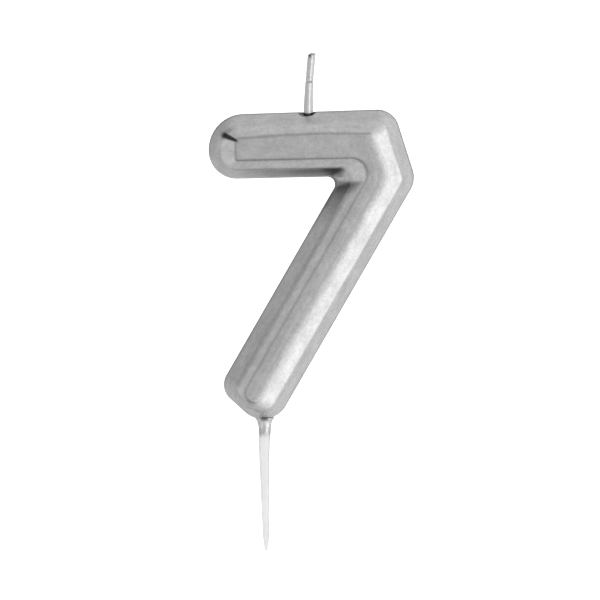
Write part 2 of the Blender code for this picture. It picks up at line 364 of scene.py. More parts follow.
def around(values, size):
    """One value per edge carried round the outline: steady on a run, eased along each corner."""
    rounds, runs = steps_along(size.columns)
    pieces = []
    for i, value in enumerate(values):
        following = values[(i + 1) % len(values)]
        ease = (1 - np.cos(np.linspace(0.0, math.pi, rounds[i] + 1))) / 2
        pieces.append(value + (following - value) * ease)
        pieces.append(np.full(runs[i] - 1, following))
    return np.concatenate(pieces)


def ring(size, insets, radii, shares):
    """The outline moved in edge by edge, with an arc at each corner and straight runs between them."""
    angles, aways = outline_edges(size)
    aways = aways - insets
    following = np.append(angles[1:], angles[0] - 2 * math.pi)
    rounds, _ = steps_along(size.columns)
    arcs = []
    for i, radius in enumerate(radii):
        reach = -math.copysign(radius, following[i] - angles[i])
        j = (i + 1) % len(radii)
        centre = meet(angles[i], aways[i] - reach, angles[j], aways[j] - reach)
        arcs.append(centre + reach * heading(np.linspace(angles[i], following[i], rounds[i] + 1)))
    pieces = []
    for i, share in enumerate(shares):
        start, end = arcs[i][-1], arcs[(i + 1) % len(arcs)][0]
        pieces.append(arcs[i])
        pieces.append(start + (end - start) * share[1:-1, None])
    return np.concatenate(pieces)


def opposite_columns(size):
    """The columns from the middle of the bar's end to the middle of the foot, over the top and under."""
    rounds, runs = steps_along(size.columns)
    around_all = sum(rounds) + sum(runs)
    end = sum(rounds[:6]) + sum(runs[:5]) + runs[5] // 2
    half = around_all // 2
    over = (end + np.arange(half + 1)) % around_all
    under = (end - np.arange(half + 1)) % around_all
    return over, under


# -------- numeral surface

BAND_STEPS = 3
ROUND_STEPS = 14
SIDE_STEPS = 8
CREASE_STEPS = 8
FLANK_STEPS = 6
SOFT_STEPS = 16
PANEL_STEPS = 12

PIT_ROUND = 0.12 * MM
# The painted dark reflection's middle from the panel's corner, its lean in degrees, and its half sizes.
DARK_REFLECTION_PLACE = np.array([-1.25, -0.35]) * MM
DARK_REFLECTION_LEAN = 156.0
DARK_REFLECTION_LENGTH = 2.2 * MM
DARK_REFLECTION_WIDTH = 0.58 * MM
DARK_REFLECTION_SPREAD = 0.30 * MM


def side_tilt(size):
    """How far the side facet turns from the front: it just touches the edge round at the leg."""
    across = SIDES[1] - size.edge_round
    up = size.depth / 2 - size.panel_rise - size.seam_height / 2
    return math.acos(size.edge_round / math.hypot(across, up)) - math.atan2(across, up)


def bend(before, corner, after, reach, steps):
    """A parabola that rounds a corner, leaving each straight a given reach away from it.

    The reach is at most a share of each straight, since its other end may be rounded too.
    """

    def towards(other, most):
        run = other - corner
        distance = np.linalg.norm(run, axis=-1, keepdims=True)
        return corner + run * np.minimum(reach[:, None] / distance, most)

    t = np.linspace(0.0, 1.0, steps + 1)[:, None, None]
    start, end = towards(before, 0.62), towards(after, 0.98)
    return (1 - t) ** 2 * start + 2 * t * (1 - t) * corner + t**2 * end


def sagged(flat, size):
    """Lowers a ring's top edge by sag * t^2, where t runs from 0 over the wick to 1 at either end."""
    t = np.clip((flat[:, 0] - WICK_X) / (size.reach - RIM_ROUNDS[6] + WICK_X), -1.0, 1.0)
    upper = smooth_step(flat[:, 1], size.top - 0.7 * size.bar_height, size.top - 0.45 * size.bar_height)
    return flat - np.stack([np.zeros(len(flat)), size.sag * t**2 * upper], axis=-1)


def half_rings(size, shares):
    """Rings of the front half from the seam to inside the panel, as points (ring, column, xyz).

    Between rim and crease a point is rim + share * (crease - rim), at the depth of
    a seam band, a circular edge round and a straight side facet. The crease and
    the panel's edge are parabolas, and the flank between them is straight.
    """
    tilt = side_tilt(size)
    rim = ring(size, 0 * SIDES, RIM_ROUNDS, shares)
    crease = ring(size, SIDES, CREASE_ROUNDS, shares)
    panel = sagged(ring(size, INSETS, PANEL_ROUNDS, shares), size)
    inner = sagged(ring(size, INSETS + INNER_MARGINS, INNER_ROUNDS, shares), size)

    def placed(flat, depth):
        return np.stack([flat[:, 0], np.full(len(flat), -depth), flat[:, 1]], axis=-1)

    def on_side(share, depth):
        return placed(rim + (crease - rim) * share, depth)

    half_band, crease_depth = size.seam_height / 2, size.depth / 2 - size.panel_rise
    band = [on_side(0.0, half_band * step / BAND_STEPS) for step in range(BAND_STEPS)]
    angles = np.linspace(math.pi / 2, tilt, ROUND_STEPS + 1)
    arc = [
        on_side(size.edge_round * (1 - math.sin(a)) / SIDES[1], half_band + size.edge_round * math.cos(a))
        for a in angles
    ]
    side_start, at_crease = arc[-1], placed(crease, crease_depth)
    at_panel, at_inner = placed(panel, size.depth / 2), placed(inner, size.depth / 2)
    soft_crease = bend(side_start, at_crease, at_panel, around(CREASE_SOFTNESS, size), CREASE_STEPS)
    soft_panel = bend(at_crease, at_panel, at_inner, around(PANEL_SOFTNESS, size), SOFT_STEPS)
    side_share = np.linspace(0.0, 1.0, SIDE_STEPS + 1)[1:-1, None, None]
    flank_share = np.linspace(0.0, 1.0, FLANK_STEPS + 1)[1:-1, None, None]
    side = side_start + (soft_crease[0] - side_start) * side_share
    flank = soft_crease[-1] + (soft_panel[0] - soft_crease[-1]) * flank_share
    return np.concatenate([np.array(band), np.array(arc), side, soft_crease, flank, soft_panel]), panel


def flow_of(points, column, rings, size):
    """Distances along and across the numeral's middle line, and forward, for points of known columns.

    A column's place on the middle line is m, its distance along it s and its heading
    t: a point p gives s + (p - m) . t along and the part of p - m square to t across.
    """
    over, under = opposite_columns(size)
    middle = (rings[-1, over] + rings[-1, under])[:, [0, 2]] / 2
    steps = np.linalg.norm(np.diff(middle, axis=0), axis=1)
    distance = np.concatenate([[0.0], np.cumsum(steps)])
    reach = 4 * size.columns
    place = np.arange(len(middle))
    ahead = middle[np.minimum(place + reach, len(middle) - 1)] - middle[np.maximum(place - reach, 0)]
    ahead /= np.linalg.norm(ahead, axis=1)[:, None]
    nearest = np.zeros(rings.shape[1], dtype=int)
    nearest[under], nearest[over] = place, place
    found = nearest[column]
    offset = points[:, [0, 2]] - middle[found]
    along = distance[found] + np.sum(offset * ahead[found], axis=1)
    across = offset[:, 1] * ahead[found, 0] - offset[:, 0] * ahead[found, 1]
    return np.stack([along, across, points[:, 1]], axis=-1)


def numeral_half(size):
    """The front half as points, faces and masks: its rings, and the panel as cross lines.

    Each cross line joins a column over the middle line to its opposite column
    under it, in equal steps, and swells by crown * 4w(1 - w) at share w across.
    """
    shares = run_shares(size)
    rings, panel_edge = half_rings(size, shares)
    count, columns = rings.shape[:2]
    index = np.arange(count * columns).reshape(count, columns)
    over, under = opposite_columns(size)
    w = np.linspace(0.0, 1.0, PANEL_STEPS + 1)
    start, end = rings[-1, over[1:-1]], rings[-1, under[1:-1]]
    lines = start[:, None] + (end - start)[:, None] * w[None, 1:-1, None]
    first = count * columns
    inside = first + np.arange(lines.shape[0] * lines.shape[1]).reshape(lines.shape[:2])
    across = np.concatenate([index[-1, over[1:-1], None], inside, index[-1, under[1:-1], None]], axis=1)
    faces = [
        quads_of(index, True),
        quads_of(across, False)[:, ::-1],
        fan_of(index[-1, over[0]], across[0])[:, ::-1],
        fan_of(index[-1, over[-1]], across[-1]),
    ]

    points = np.concatenate([rings.reshape(-1, 3), lines.reshape(-1, 3)])
    own = np.tile(np.arange(columns), count)
    column = np.concatenate([own, np.repeat(over[1:-1], lines.shape[1])])
    other = np.concatenate([own, np.repeat(under[1:-1], lines.shape[1])])
    flow = flow_of(points, column, rings, size)
    place = points[:, [0, 2]]
    gap = np.linalg.norm(place - panel_edge[column], axis=1)
    gap = np.minimum(gap, np.linalg.norm(place - panel_edge[other], axis=1))
    # The groove share deepens the line, and in the lacquer it paints shade along it.
    grooved, width = around(GROOVED, size), around(GROOVE_WIDTH, size)
    groove = bump_at(gap, 0.0, width[column]) * np.minimum(grooved[column], grooved[other])
    swell = np.zeros(len(points))
    swell[first:] = np.tile((4 * w * (1 - w))[1:-1], len(start))
    free = smooth_step(np.abs(points[:, 1]), 0.0, 1.5 * MM)
    waves = slow_waves(flow)
    points[:, 1] -= size.crown * swell + size.ripple * waves * free - size.groove * groove
    return points, faces, columns, {"flow": flow, "groove": groove}


def slow_waves(flow):
    """Long low waves over the surface: a sum of sines of the distances along and across it."""
    along, across = flow[:, 0] / MM, flow[:, 1] / MM
    return (
        np.sin(along * 0.42 + 1.3 * np.sin(across * 0.55))
        + 0.7 * np.sin(across * 1.15 + 0.8 * np.sin(along * 0.31 + 2.0))
        + 0.4 * np.sin(along * 0.9 - across * 0.8 + 0.7)
    )


def both_halves(points, faces, seam_count, masks):
    """The half and its mirror image in Y, sharing the points of the seam, which come first."""
    mirrored = np.arange(len(points)) + len(points) - seam_count
    mirrored[:seam_count] = np.arange(seam_count)
    flipped = points[seam_count:] * np.array([1.0, -1.0, 1.0])
    both = np.concatenate([points, flipped])
    all_faces = faces + [mirrored[group][:, ::-1] for group in faces]
    doubled = {key: np.concatenate([value, value[seam_count:]]) for key, value in masks.items()}
    return both, turned_out(both, all_faces), doubled


def sink_pit(points, size):
    """Lowers the bar's top to an oval pit around the wick, and gives each point's share inside it, where the
    lacquer is painted dark as shade.

    At distance d from its middle, in pit radii, the pit is depth * (1 - (d - f) / (1 - f))
    deep, with a flat floor up to f that is wider on the left. The surface is the
    lower of pit and bar, rounded where they meet.
    """
    top = bar_top(size)
    right = (points[:, 0] - WICK_X) / size.pit_radius
    forward = (points[:, 1] - WICK_Y + size.pit_forward) / (1.1 * size.pit_radius)
    distance = (right**4 + forward**4) ** 0.25
    floor = size.pit_floor / size.pit_radius - 0.30 * np.clip(right, -0.9, 1.2)
    wall = np.maximum(distance - floor, 0.0) / (1.0 - floor)
    pit = top - size.pit_depth + size.pit_depth * wall
    near = (distance < 1.5) & (points[:, 2] > top - 4 * MM)
    share = np.clip(0.5 + 0.5 * (points[:, 2] - pit) / PIT_ROUND, 0.0, 1.0)
    lowered = points[:, 2] + (pit - points[:, 2]) * share - PIT_ROUND * share * (1 - share)
    points[near, 2] = lowered[near]
    return np.where(near, smooth_step(share, 0.35, 0.9), 0.0)


def sink_socket(points, size):
    """Raises a round dimple in the toe, so that the surface passes round the pick, and gives the share of
    painted shade round the pick's root.
    """
    distance = np.hypot(points[:, 0], points[:, 1])
    near = (distance < size.socket_radius) & (points[:, 2] < 2 * MM)
    inside = 1 - smooth_step(distance, 0.82 * size.socket_radius, size.socket_radius)
    points[near, 2] += (size.socket_depth * inside)[near]
    shade = 1 - smooth_step(distance, 0.9 * size.socket_radius, 1.1 * size.socket_radius)
    return np.where(points[:, 2] < 1.2 * MM, shade, 0.0)


def within(values, start, full, fall, end):
    """1 from full to fall, easing to 0 at start and at end."""
    return smooth_step(values, start, full) * (1 - smooth_step(values, fall, end))


def crook_shade(points, size):
    """Share of painted shade and painted dark reflection in the crook.

    It lies along the seam, on the bar's underside facet, where it grows towards
    the crook, and as a short streak at the top of the leg's inner facet.
    """
    angles, aways = outline_edges(size)
    crook = meet(angles[4], aways[4], angles[5], aways[5])
    place = points[:, [0, 2]]
    right, up = (place - crook).T
    away = np.hypot(right, up)
    seam = 1 - smooth_step(np.abs(points[:, 1]), 1.4 * MM, 2.7 * MM)
    seam *= 0.8 * (1 - smooth_step(away, 6 * MM, 15 * MM))
    rise = up / SIDES[5]
    facet = within(rise, -0.05, 0.0, 0.80, 1.05) * (0.6 + 0.4 * smooth_step(rise, 0.0, 0.8))
    facet *= 0.9 * np.sqrt(smooth_step(right, -24 * MM, -3 * MM))
    facet *= 1 - smooth_step(right, -0.5 * MM, 1.5 * MM)
    inward = aways[4] - place @ heading(angles[4])
    leg = 0.60 * within(-up, 0.4 * MM, 1.4 * MM, 1.6 * MM, 4.5 * MM)
    leg *= 1 - smooth_step(inward, 3.6 * MM, 5 * MM)
    return np.maximum(np.maximum(seam, facet), leg)


def smudge_share(points, size):
    """Share of the painted dark reflection at the upper left corner of the front panel.

    It is a superellipse |l|^4 + |w|^4 = 1, where w's unit is width + spread * l,
    so that it widens along its length.
    """
    angles, aways = outline_edges(size)
    corner = meet(angles[6], aways[6] - INSETS[6], angles[0] - 2 * math.pi, aways[0] - INSETS[0])
    away = points[:, [0, 2]] - corner - DARK_REFLECTION_PLACE
    lean = heading(math.radians(DARK_REFLECTION_LEAN))
    lengthwise = away @ lean / DARK_REFLECTION_LENGTH
    sideways = away @ np.array([-lean[1], lean[0]]) / (DARK_REFLECTION_WIDTH + DARK_REFLECTION_SPREAD * lengthwise)
    inside = 1 - smooth_step((lengthwise**4 + sideways**4) ** 0.25, 0.6, 1.15)
    return inside * smooth_step(-points[:, 1], 0.0, 2 * MM)


def numeral_surface(size):
    """Both halves as one closed surface, with the pit, the dimple and the masks its material reads."""
    points, faces, columns, masks = numeral_half(size)
    points, faces, masks = both_halves(points, faces, columns, masks)
    # The pit's share and the socket's share are painted dark as shade in the lacquer.
    pooled = sink_pit(points, size)
    shade = sink_socket(points, size)
    masks["pooled"] = np.maximum(pooled, shade)
    # Painted shade and painted dark reflection in the crook.
    masks["soot"] = crook_shade(points, size)
    # Painted dark reflection at the panel's upper left corner.
    masks["smudge"] = smudge_share(points, size)
    return points, faces, masks


# -------- wick

WICK_RINGS = 260
WICK_SIDES = 48
CUT_BACK = 0.55 * MM  # end of the plait below the strands' tips
FIBRE_RADIUS = 0.012 * MM
# Each strand's offset to the right, to the front and up, and its radius, in millimetres.
STRANDS = (
    (-0.34, 0.10, 0.02, 0.36),
    (0.52, 0.16, 0.18, 0.42),
    (0.06, -0.26, 0.30, 0.38),
    (0.22, 0.34, -0.25, 0.38),
)


def wick_path(size, low, high, count):
    """Upright in the bar, then leaning right as the power 1.5 of its height above it."""
    above = np.linspace(low, high, count)
    x = WICK_X + size.sway * (np.maximum(above, 0.0) / size.free) ** 1.5
    x += size.aside * smooth_step(above, -3 * MM, 0.0)
    top = bar_top(setting("numeral"))
    return np.stack([x, np.full(count, WICK_Y), top + above], axis=-1), above


def braided_wick(size):
    """A superellipse with |u|^p + |v|^p = reach^p and its four edges to the sides, front and back.

    Each of its four faces carries V stitches: a ridge where the phase
    height / plait + |distance from the face's middle| is whole.
    """
    path, above = wick_path(size, -size.sunk, size.free - CUT_BACK, WICK_RINGS)
    angle = angles_round(WICK_SIDES)
    power = size.squareness
    shape = (np.abs(np.cos(angle)) ** power + np.abs(np.sin(angle)) ** power) ** (-1 / power)
    waxed = 1 - smooth_step(above, size.wax_line - 0.15 * MM, size.wax_line + 0.25 * MM)
    foot = 1 - smooth_step(above, 0.0, 6 * MM)
    reach = size.top_reach + (size.reach - size.top_reach) * (0.35 * waxed + 0.65 * foot)
    reach *= 1 - 0.5 * smooth_step(above, size.free - 0.9 * MM, size.free - CUT_BACK)
    fold = np.abs(((angle / (math.pi / 2)) % 1.0) - 0.5) * 2
    phase = above[:, None] / size.plait + 0.55 * fold[None]
    stitch = np.abs(np.sin(math.pi * phase)) ** 0.6
    relief = size.relief * (0.35 + 0.65 * (1 - waxed))[:, None] * (stitch - 0.6)
    nick = size.notch * bump_at(above, size.wax_line, 0.14 * MM)[:, None]
    nick = nick * (0.35 + 0.65 * np.clip(np.cos(angle - 0.6), 0.0, 1.0))[None]
    second = 0.4 * size.notch * bump_at(above, size.wax_line + 1.15 * MM, 0.12 * MM)[:, None]
    radius = reach[:, None] * shape[None] + relief - nick - second
    return carried(path, radius[..., None] * heading(angle))


def tip_strands(size):
    """The cut ends of the braid: four strands that open out, one curled over to the right."""
    path, _ = wick_path(size, size.free - 2.4 * MM, size.free - 0.6 * MM, 12)
    share = np.linspace(0.0, 1.0, len(path))[:, None]
    shells = []
    for right, front, up, thick in STRANDS:
        strand = path + np.array([[right, -front, 0.0]]) * MM * (0.45 + 0.75 * share**2)
        strand[:, 0] += 0.25 * max(right, 0.0) * MM * share[:, 0] ** 4
        strand[:, 2] += up * MM * share[:, 0] ** 2
        radii = thick * MM * np.sqrt(np.clip(1.04 - share[:, 0] ** 6, 0.02, 1.0))
        shells.append(tube(strand, radii, 14))
    return shells


def loose_fibres(size):
    """Hair-thin fibres that stand off the tip in shallow curves."""
    rng = np.random.default_rng(7)
    shells = []
    for _ in range(size.fibres):
        start_at = size.free - rng.uniform(0.6, 4.5) * MM
        base, _ = wick_path(size, start_at, start_at + 0.1 * MM, 2)
        angle, lift, run = rng.uniform(0, 2 * math.pi), rng.uniform(0.2, 1.0), rng.uniform(0.35, 0.9) * MM
        t = np.linspace(0.0, 1.0, 6)[:, None]
        out = np.array([math.cos(angle), math.sin(angle), 0.0])
        start = base[0] + 0.45 * MM * out
        path = start + out * run * t * (1.1 - 0.5 * t) + np.array([0.0, 0.0, lift * run]) * t**1.5
        shells.append(tube(path, np.full(len(path), FIBRE_RADIUS), 5))
    return shells


def wick_marks(points, size):
    """Share of dark at the heart of the tip, and of painted shade on the right of the nick at the wax line.
    """
    top = bar_top(setting("numeral"))
    tip = top + size.free
    heart = np.array([WICK_X + size.sway - 0.30 * MM, WICK_Y - 0.6 * MM, tip - 0.9 * MM])
    dark = bump_at(np.linalg.norm((points - heart) * [1.3, 1.0, 0.75], axis=1), 0.0, 0.42 * MM)
    # Painted shade on the right of the nick.
    nick = 0.45 * bump_at(points[:, 2], top + size.wax_line, 0.16 * MM)
    nick *= smooth_step(points[:, 0], WICK_X + 0.2 * MM, WICK_X + 0.5 * MM)
    return np.maximum(dark, nick)


# -------- pick

PICK_SIDES = 96
FILM_SIDES = 72
FILM_RINGS = 60
FILM_TOP = 0.30 * MM  # up into the dimple in the toe
FILM_GAP = 0.008 * MM
FILM_LUMPS = 0.022 * MM
COLLAR = 0.32 * MM
COLLAR_MOST = 0.34 * MM
COLLAR_FADE = 0.45 * MM


def spun(radius, height):
    """Rings round the Z axis, from the radius at each height (row) and angle (column)."""
    flat = radius[..., None] * heading(angles_round(radius.shape[1]))
    return np.concatenate([flat, np.broadcast_to(height[..., None], (*radius.shape, 1))], axis=-1)


def pick_radius(size, height):
    """Radius below the cake line: a shoulder dying into a long taper, a point and a round tip."""
    depth = -height
    tip = -PICK_LOW.z
    point = tip - size.point_length
    down = (depth - size.neck_drop) / (point - size.neck_drop)
    taper = size.neck_radius + (size.point_radius - size.neck_radius) * down
    shoulder = (size.root_radius - size.neck_radius) * np.exp(-depth / (0.30 * size.neck_drop))
    body = taper + shoulder
    sharpened = size.point_radius + (size.tip_radius - size.point_radius) * (depth - point) / (tip - point)
    radius = np.where(depth > point, sharpened, body)
    ball = np.clip(1 - ((depth - (tip - size.tip_radius)) / size.tip_radius) ** 2, 0.0, 1.0)
    return np.where(depth > tip - size.tip_radius, size.tip_radius * np.sqrt(ball), radius)


def moulded_pick(size):
    """The pick turned round its axis, with the mould's parting line as a low ridge on either side."""
    tip, top = PICK_LOW.z, PICK_HIGH.z
    wide = size.shank_radius
    shank = [[0.5 * wide, top], [0.9 * wide, top - 0.25 * MM], [wide, top - 0.6 * MM], [wide, -0.25 * MM]]
    heights = np.concatenate(
        [
            np.linspace(-0.3 * MM, -size.neck_drop, 26),
            np.linspace(-size.neck_drop, tip + size.point_length, 40)[1:],
            np.linspace(tip + size.point_length, tip + size.tip_radius, 12)[1:],
            tip + size.tip_radius * (1 - np.sin(np.linspace(0.0, math.pi / 2, 10)))[1:],
        ]
    )
    body = np.stack([pick_radius(size, heights), heights], axis=-1)
    body[-1, 0] = 0.02 * MM
    profile = np.concatenate([shank, body])
    radius, height = profile[:, :1], profile[:, 1:]
    ridge = size.parting * bump_at(np.sin(angles_round(PICK_SIDES)), 0.0, 0.07)
    rings = spun(radius + ridge * ((height < -0.5 * MM) & (height > tip + 1.0 * MM)), height)
    poles = [[0.0, 0.0, profile[0, 1]], [0.0, 0.0, profile[-1, 1]]]
    return bowed(*capped(rings, poles), size)


def bowed(points, faces, size):
    """Moves the lower part of the pick a little to the left, eased in below the neck."""
    points[:, 0] -= size.bow * smooth_step(-points[:, 2], 1.5 * MM, 9 * MM)
    return points, faces


def film_surface(size):
    """A thin sleeve of coat on the top of the pick, lumpy outside and just clear of the pick inside.

    Its outer radius is the pick's + wall + collar * exp(height / fade) + lumps.
    """
    heights = np.linspace(FILM_TOP, -size.film_drop, FILM_RINGS)
    pick = pick_radius(size, np.minimum(heights, 0.0))
    collar = np.minimum(COLLAR * np.exp(heights / COLLAR_FADE), COLLAR_MOST)
    outside, inside = pick + size.film_wall + collar, pick + FILM_GAP
    height = np.concatenate([heights, heights[::-1]])[:, None]
    angle = angles_round(FILM_SIDES)
    lumps = (
        np.sin(3 * angle + height / MM * 2.1)
        + 0.8 * np.sin(5 * angle - height / MM * 3.3 + 1.0)
        + 0.6 * np.sin(2 * angle + height / MM * 5.2 + 2.0)
    )
    radius = np.concatenate([outside, inside[::-1]])[:, None] + 0.0 * angle
    radius[:FILM_RINGS] += FILM_LUMPS * (lumps[:FILM_RINGS] + 1.2)
    points = spun(radius, height).reshape(-1, 3)
    index = np.arange(radius.size).reshape(radius.shape)
    closed = np.concatenate([index, index[:1]])
    return bowed(points, turned_out(points, [quads_of(closed, True)]), size)


# -------- shader nodes


def feed(tree, node, inputs):
    """Gives inputs their values, each one a constant or the socket that feeds it."""
    for key, value in inputs.items():
        socket = node.inputs[key]
        if isinstance(value, bpy.types.NodeSocket):
            tree.links.new(value, socket)
        else:
            socket.default_value = (*value, 1.0) if socket.type == "RGBA" else value


def add(tree, kind, inputs=None, **values):
    """A shader node with its settings and inputs."""
    node = tree.nodes.new("ShaderNode" + kind)
    for key, value in values.items():
        setattr(node, key, value)
    feed(tree, node, inputs or {})
    return node


def calc(tree, operation, *values):
    return add(tree, "Math", dict(enumerate(values)), operation=operation).outputs[0]


def times(tree, first, second):
    return calc(tree, "MULTIPLY", first, second)


def plus(tree, first, second):
    return calc(tree, "ADD", first, second)


def span(tree, value, low, high, to_low=0.0, to_high=1.0, kind="SMOOTHSTEP"):
    """A value moved from one range to another, and held inside it."""
    inputs = {"Value": value, "From Min": low, "From Max": high, "To Min": to_low, "To Max": to_high}
    return add(tree, "MapRange", inputs, interpolation_type=kind).outputs[0]


def mixed(tree, share, first, second):
    """The first colour at share 0 and the second at share 1."""
    return add(tree, "Mix", {0: share, 6: first, 7: second}, data_type="RGBA").outputs[2]


def new_group(name, inputs, outputs):
    """An empty group with a Vector, float inputs and float outputs, as its tree and input sockets."""
    tree = bpy.data.node_groups.new(name, "ShaderNodeTree")
    tree.interface.new_socket("Vector", in_out="INPUT", socket_type="NodeSocketVector")
    for key in inputs:
        tree.interface.new_socket(key, in_out="INPUT", socket_type="NodeSocketFloat")
    for key in outputs:
        tree.interface.new_socket(key, in_out="OUTPUT", socket_type="NodeSocketFloat")
    return tree, tree.nodes.new("NodeGroupInput").outputs


def fleck_group():
    """Fine metallic flecks: two sizes of noise, as a fleck share around 0.5 and a height."""
    tree, (vector, fine, _) = new_group("fine_flecks", ("Fineness",), ("Fleck", "Height"))
    coarse = times(tree, fine, 0.42)
    small = add(tree, "TexNoise", {"Vector": vector, "Scale": fine, "Detail": 1.0}).outputs[0]
    large = add(tree, "TexNoise", {"Vector": vector, "Scale": coarse, "Detail": 2.0}).outputs[0]
    height = plus(tree, times(tree, small, 0.5), times(tree, large, 0.5))
    fleck = span(tree, height, 0.36, 0.64, kind="LINEAR")
    feed(tree, tree.nodes.new("NodeGroupOutput"), {"Fleck": fleck, "Height": height})
    return tree


def cloud_group():
    """Slow cloudy patches: stretched noise bent by a slower one, as a share from 0 to 1."""
    tree, (vector, scale, bend, _) = new_group("cloudy_patches", ("Coarseness", "Bend"), ("Cloud",))
    slow = add(tree, "TexNoise", {"Vector": vector, "Scale": times(tree, scale, 0.35)}).outputs[1]
    shift = add(tree, "VectorMath", {0: slow, "Scale": bend}, operation="SCALE").outputs[0]
    bent = add(tree, "VectorMath", {0: vector, 1: shift}, operation="ADD").outputs[0]
    noise = add(tree, "TexNoise", {"Vector": bent, "Scale": scale, "Detail": 3.0}).outputs[0]
    feed(tree, tree.nodes.new("NodeGroupOutput"), {"Cloud": span(tree, noise, 0.35, 0.65)})
    return tree


def flecks(tree, place, fineness):
    """The outputs Fleck and Height of the fleck group, which is built once."""
    group = bpy.data.node_groups.get("fine_flecks") or fleck_group()
    return add(tree, "Group", {"Vector": place, "Fineness": fineness}, node_tree=group).outputs


def cloud(tree, place, coarseness, bend):
    """The cloud group's share, from 0 to 1. The group is built once."""
    group = bpy.data.node_groups.get("cloudy_patches") or cloud_group()
    inputs = {"Vector": place, "Coarseness": coarseness, "Bend": bend}
    return add(tree, "Group", inputs, node_tree=group).outputs[0]


def make_material(inputs_of):
    """A material named after the function that gives its shader's inputs, from its tree and the finish."""
    material = bpy.data.materials.new(inputs_of.__name__)
    material.use_nodes = True
    tree = material.node_tree
    tree.nodes.clear()
    shader = add(tree, "BsdfPrincipled", inputs_of(tree, setting("finish")))
    add(tree, "OutputMaterial", {"Surface": shader.outputs[0]})
    return material


def scaled(tree, vector, scale):
    return add(tree, "Mapping", {"Vector": vector, "Scale": scale}).outputs[0]


def object_place(tree):
    return add(tree, "TexCoord").outputs["Object"]


def attribute(tree, key, output="Fac"):
    return add(tree, "Attribute", attribute_name=key, attribute_type="GEOMETRY").outputs[output]


def bumped(tree, height, distance):
    return add(tree, "Bump", {"Height": height, "Distance": distance}).outputs[0]


def silver_lacquer(tree, finish):
    """Silver lacquer: fine flecks, cloudy streaks, painted shade in the creases, crook and pit and round the
    pick's root, and a painted dark reflection at the panel's corner.
    """
    grain = flecks(tree, object_place(tree), 2600.0)
    flow = attribute(tree, "flow", "Vector")
    streak = cloud(tree, scaled(tree, flow, (0.22, 1.0, 1.0)), 900.0, 0.0012)
    patch = cloud(tree, flow, 260.0, 0.004)
    dull = plus(tree, times(tree, streak, 0.45), times(tree, patch, 0.55))
    sparkle = span(tree, grain["Fleck"], 0.0, 1.0, 0.91, 1.09, "LINEAR")
    base = mixed(tree, dull, finish.silver, finish.tarnish)
    base = add(tree, "HueSaturation", {"Color": base, "Value": sparkle}).outputs[0]
    # Each mask paints the lacquer dark: painted shade along the grooves, in the crook and pit and round the
    # pick's root, and a painted dark reflection at the panel's upper left corner.
    for key, strength in (("groove", 0.35), ("smudge", 0.97), ("soot", 0.9), ("pooled", 1.0)):
        share = times(tree, attribute(tree, key), strength)
        base = mixed(tree, share, base, finish.pooled)
    height = plus(tree, grain["Height"], times(tree, streak, 0.8))
    return {
        "Base Color": base,
        "Metallic": span(tree, attribute(tree, "pooled"), 0.0, 1.0, 1.0, 0.4, "LINEAR"),
        "Roughness": span(tree, dull, 0.0, 1.0, 0.22, 0.30, "LINEAR"),
        "Normal": bumped(tree, height, 0.010 * MM),
    }


def silver_film(tree, finish):
    """The same lacquer run down the pick: a painted shadow just under the toe, and breaking up where it
    thins out.
    """
    place = object_place(tree)
    end = -setting("pick").film_drop
    grain = flecks(tree, place, 2600.0)
    patch = cloud(tree, place, 900.0, 0.001)
    right, _, height = add(tree, "SeparateXYZ", {"Vector": place}).outputs
    ragged = plus(tree, height, times(tree, patch, 0.6 * MM))
    # Painted shadow in a thin band just under the toe, in the middle of the pick.
    toe_shadow = span(tree, height, -0.26 * MM, -0.14 * MM, 0.0, 0.62)
    middle = span(tree, calc(tree, "ABSOLUTE", right), 1.2 * MM, 0.6 * MM)
    base = mixed(tree, patch, (0.75, 0.75, 0.75), finish.silver)
    return {
        "Base Color": mixed(tree, times(tree, toe_shadow, middle), base, finish.pooled),
        "Metallic": 1.0,
        "Roughness": span(tree, patch, 0.0, 1.0, 0.14, 0.28, "LINEAR"),
        "Alpha": span(tree, ragged, end, end + 3.4 * MM),
        "Normal": bumped(tree, plus(tree, grain["Height"], patch), 0.03 * MM),
    }


def waxed_cotton(tree, finish):
    """Waxed cotton: plaited strands from the mesh, fine threads, painted shade where it stands in the pit
    and in the nick, darker towards the tip and dark at the tip's heart.
    """
    place = object_place(tree)
    threads = flecks(tree, scaled(tree, place, (1.0, 1.0, 0.25)), 7000.0)
    patch = cloud(tree, place, 1100.0, 0.0006)
    height = add(tree, "SeparateXYZ", {"Vector": place}).outputs["Z"]
    top = bar_top(setting("numeral"))
    tip = top + setting("wick").free
    base = mixed(tree, times(tree, patch, 0.25), finish.cotton, finish.tarnish)
    # Painted shade on the wick below the bar's top, where it stands in the pit.
    shaded_in_pit = span(tree, height, top - 0.35 * MM, top - 0.05 * MM, 1.0, 0.0)
    # The wick darkens towards its tip.
    singed = span(tree, height, tip - 1.6 * MM, tip - 0.2 * MM, 0.0, 0.35)
    shade = calc(tree, "MAXIMUM", calc(tree, "MAXIMUM", shaded_in_pit, attribute(tree, "heart")), singed)
    return {
        "Base Color": mixed(tree, shade, base, finish.singed),
        "Roughness": span(tree, threads["Fleck"], 0.0, 1.0, 0.24, 0.38, "LINEAR"),
        "Metallic": span(tree, patch, 0.0, 1.0, 0.95, 0.8, "LINEAR"),
        "Sheen Weight": 0.1,
        "Normal": bumped(tree, threads["Height"], 0.03 * MM),
    }


